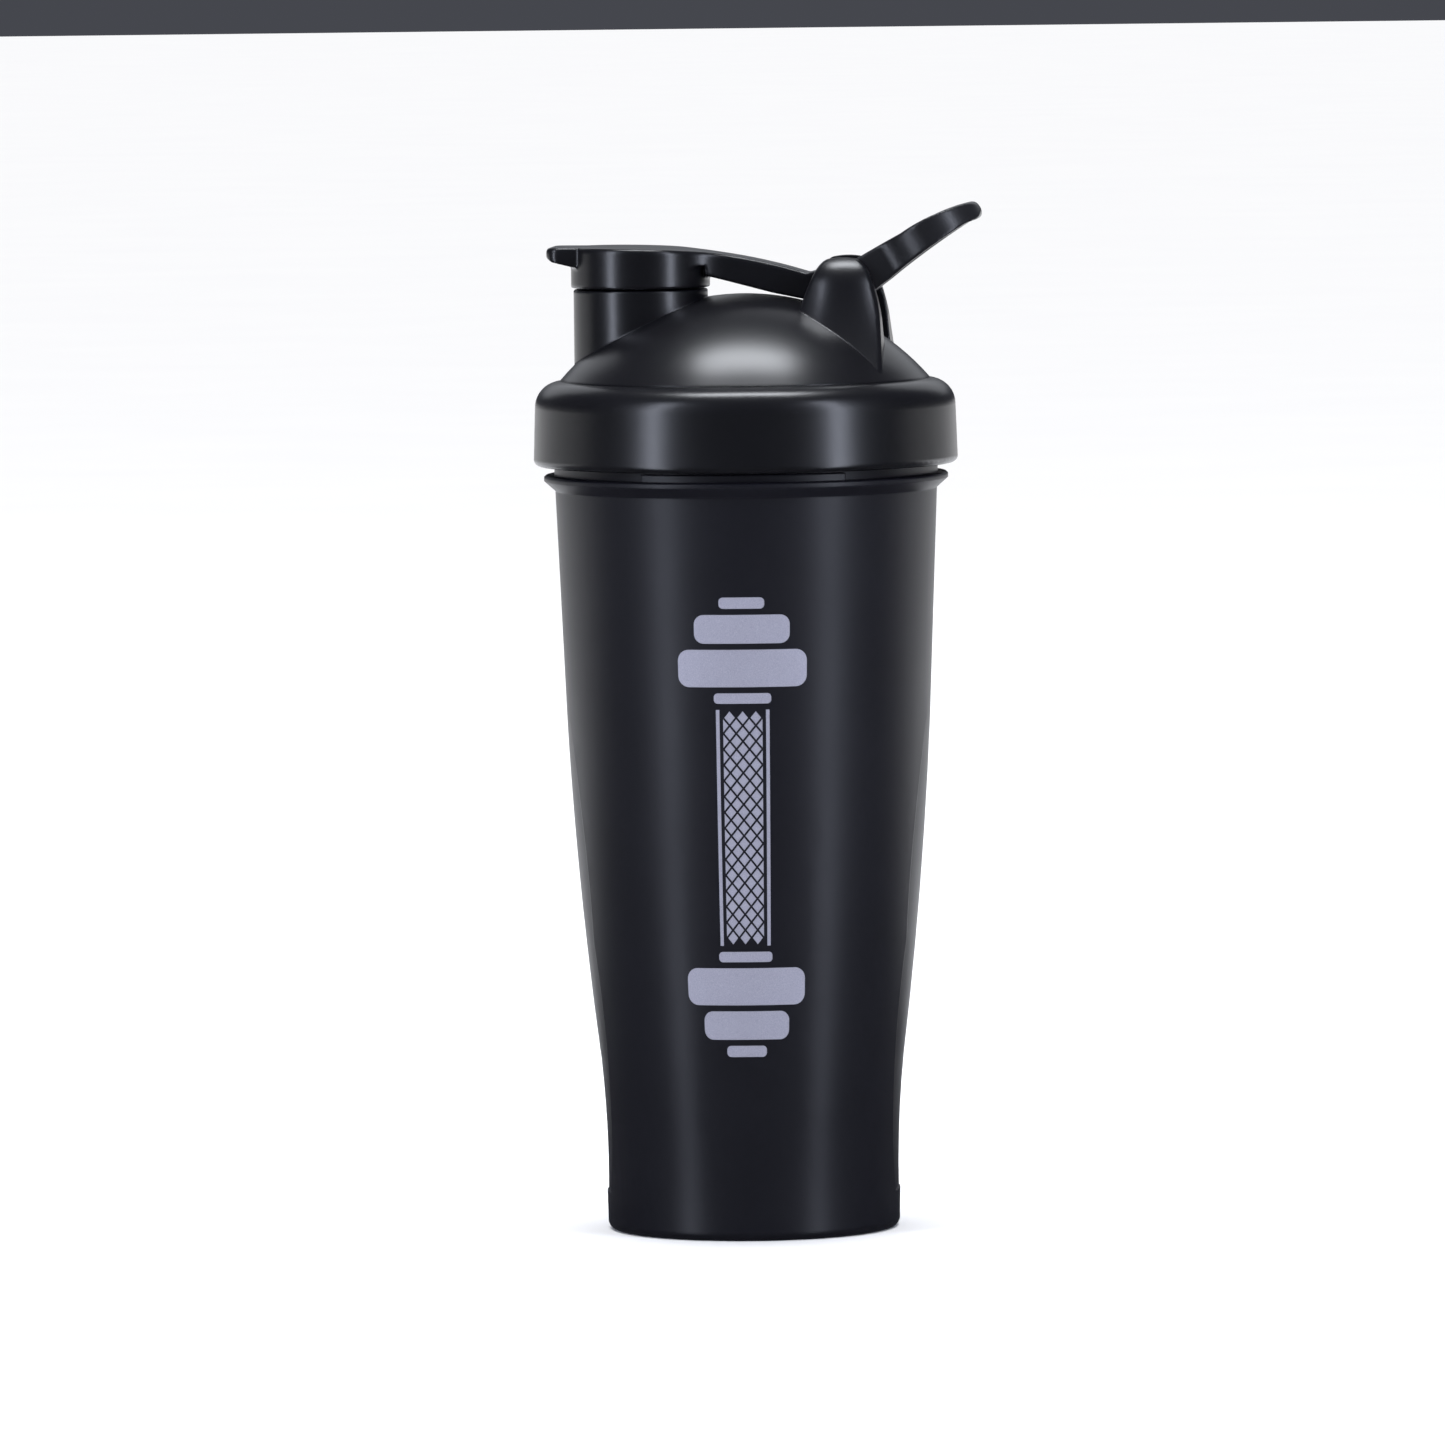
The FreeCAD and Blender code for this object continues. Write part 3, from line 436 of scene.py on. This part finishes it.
def add_diamond(builder, wrap, centre, height, half_width, half_height, side):
    """A knurl diamond; side -1 or 1 keeps only its left or right half."""
    rows = []
    for step in range(-DIAMOND_STEPS, DIAMOND_STEPS + 1):
        reach = half_width * max(DIAMOND_TIP, 1 - abs(step) / DIAMOND_STEPS)
        left = centre if side > 0 else centre - reach
        right = centre if side < 0 else centre + reach
        rows.append((height + half_height * step / DIAMOND_STEPS, left, right))
    add_strip(builder, wrap, rows)


def add_rails(builder, wrap):
    """The two lines along the sides of the handle."""
    pitch = (HANDLE_HIGH - HANDLE_LOW) / RAIL_ROWS
    heights = [HANDLE_LOW + pitch * row for row in range(RAIL_ROWS + 1)]
    for side in (-1, 1):
        edge = side * (HANDLE_HALF + 2 * RAIL_WIDTH)
        inner = side * (HANDLE_HALF + RAIL_WIDTH)
        low, high = sorted((edge, inner))
        add_strip(builder, wrap, [(height, low, high) for height in heights])


def add_knurling(builder, wrap):
    """Two interleaved grids of diamonds that fill the handle."""
    pitch_x = 2 * HANDLE_HALF / KNURL_COLUMNS
    pitch_z = (HANDLE_HIGH - HANDLE_LOW) / KNURL_ROWS
    half_width = KNURL_FILL * pitch_x / 2
    half_height = KNURL_FILL * pitch_z / 2
    for row in range(KNURL_ROWS):
        height = HANDLE_LOW + pitch_z * (row + 0.5)
        for column in range(KNURL_COLUMNS):
            centre = -HANDLE_HALF + pitch_x * (column + 0.5)
            add_diamond(builder, wrap, centre, height, half_width, half_height, 0)
    for row in range(1, KNURL_ROWS):
        height = HANDLE_LOW + pitch_z * row
        for column in range(KNURL_COLUMNS + 1):
            centre = -HANDLE_HALF + pitch_x * column
            side = {0: 1, KNURL_COLUMNS: -1}.get(column, 0)
            add_diamond(builder, wrap, centre, height, half_width, half_height, side)


def make_print():
    wrap = CupWrap()
    builder = bmesh.new()
    for plate in PLATES:
        add_plate(builder, wrap, *plate)
    add_rails(builder, wrap)
    add_knurling(builder, wrap)
    mesh = bpy.data.meshes.new("dumbbell_print")
    builder.to_mesh(mesh)
    builder.free()
    mesh.polygons.foreach_set("use_smooth", [True] * len(mesh.polygons))
    link_mesh("dumbbell_print", mesh, INK, "cup")


# ---------------------------------------------------------------- CAD nodes

def dress_cad_nodes():
    set_all("cup", CUP_PLASTIC)
    set_all("lid", LID_PLASTIC)
    set_all("lid_gasket", SILICONE)
    set_all("spout_seal", SILICONE)
    set_all("hinge_pin", STEEL)
    set_all("whisk_ball", STEEL)


# ---------------------------------------------------------------- stage and light

FLOOR_REACH = 40.0
FLOOR_SPLIT = 0.3
FLOOR_COLOURS = ((0.87, 0.87, 0.88), (0.90, 0.90, 0.90))
FLOOR_ROUGHNESS = 0.9
FLOOR_GLOSS = 0.1
PAPER_SCALE = 8.0

# Angles are from the camera's side round the bottle, distances and heights in metres,
# powers in watts.
STRIP_ANGLE = 51
STRIP_DISTANCE = 1.3
STRIP_HEIGHT = 0.40
STRIP_SIZE = (0.15, 2.2)
STRIP_TINT = (0.80, 0.85, 1.0)
LEFT_POWER = 15.5
RIGHT_POWER = 16.5
BEHIND = 180
OVERHEAD_PLACE = (BEHIND, 0.12, 1.7, 0.1)
OVERHEAD_SIZE = (0.85, 0.40)
OVERHEAD_POWER = 18.0
PANEL_PLACE = (BEHIND, 2.4, 1.5, 0.4)
PANEL_SIZE = (3.4, 1.6)
PANEL_POWER = 12.0
PANEL_TINT = (0.92, 0.95, 1.0)
CEILING_STRENGTH = 3.35
CEILING_SPREAD = math.radians(70)
SKY_TINT = (0.80, 0.84, 1.0, 1)
SKY_STRENGTH = 0.075


def floor_sheet(name, near, far, material):
    """A flat strip of floor across the view, between two depths."""
    half = FLOOR_REACH
    mesh = bpy.data.meshes.new(name)
    mesh.from_pydata(
        [(-half, near, 0), (half, near, 0), (half, far, 0), (-half, far, 0)], [], [(0, 1, 2, 3)])
    mesh.materials.append(material)
    sheet = bpy.data.objects.new(name, mesh)
    sheet.rotation_euler = (0, 0, CAMERA_AZIMUTH)
    bpy.context.scene.collection.objects.link(sheet)
    return sheet


def make_stage():
    """A pale floor in two strips; the front one does not show in glossy reflections."""
    material, tree, shader = new_material("pale_floor")
    paper = noise(tree, PAPER_SCALE)
    tree.links.new(two_colours(tree, paper, *FLOOR_COLOURS), shader.inputs["Base Color"])
    shader.inputs["Roughness"].default_value = FLOOR_ROUGHNESS
    shader.inputs["Specular IOR Level"].default_value = FLOOR_GLOSS
    front = floor_sheet("floor_front", -FLOOR_REACH, FLOOR_SPLIT, material)
    front.visible_glossy = False
    floor_sheet("floor_back", FLOOR_SPLIT, FLOOR_REACH, material)


def area_light(name, azimuth, distance, height, aim_height, size, power, tint):
    """A rectangular softbox at an azimuth from the camera's side, aimed at the bottle."""
    angle = CAMERA_AZIMUTH + math.radians(azimuth)
    place = Vector((math.sin(angle) * distance, -math.cos(angle) * distance, height))
    data = bpy.data.lights.new(name, "AREA")
    data.shape = "RECTANGLE"
    data.size, data.size_y = size
    data.energy = power
    data.color = tint
    light = bpy.data.objects.new(name, data)
    light.location = place
    aim = Vector((0, 0, aim_height)) - place
    light.rotation_euler = aim.to_track_quat("-Z", "Y").to_euler()
    bpy.context.scene.collection.objects.link(light)
    return light


def make_lights():
    """Two tall strips for the side streaks, and soft light from above and behind."""
    strip = (STRIP_DISTANCE, STRIP_HEIGHT, STRIP_HEIGHT, STRIP_SIZE)
    area_light("strip_left", -STRIP_ANGLE, *strip, LEFT_POWER, STRIP_TINT)
    area_light("strip_right", STRIP_ANGLE, *strip, RIGHT_POWER, STRIP_TINT)
    area_light("overhead", *OVERHEAD_PLACE, OVERHEAD_SIZE, OVERHEAD_POWER, PANEL_TINT)
    panel = area_light("back_panel", *PANEL_PLACE, PANEL_SIZE, PANEL_POWER, PANEL_TINT)
    panel.visible_camera = False
    data = bpy.data.lights.new("ceiling", "SUN")
    data.energy = CEILING_STRENGTH
    data.angle = CEILING_SPREAD
    ceiling = bpy.data.objects.new("ceiling", data)
    ceiling.visible_glossy = False
    bpy.context.scene.collection.objects.link(ceiling)


def make_world():
    world = bpy.data.worlds.new("studio")
    world.use_nodes = True
    sky = world.node_tree.nodes["Background"]
    sky.inputs["Color"].default_value = SKY_TINT
    sky.inputs["Strength"].default_value = SKY_STRENGTH
    bpy.context.scene.world = world
    bpy.context.scene.view_settings.view_transform = "Standard"


# ---------------------------------------------------------------- assembly

make_camera()
dress_cad_nodes()
softened_copy("flip_cap", "flip_cap_shell", LID_PLASTIC, 3)
softened_copy("carry_loop", "carry_loop_strap", LOOP_PLASTIC, 6)
make_print()
make_stage()
make_lights()
make_world()
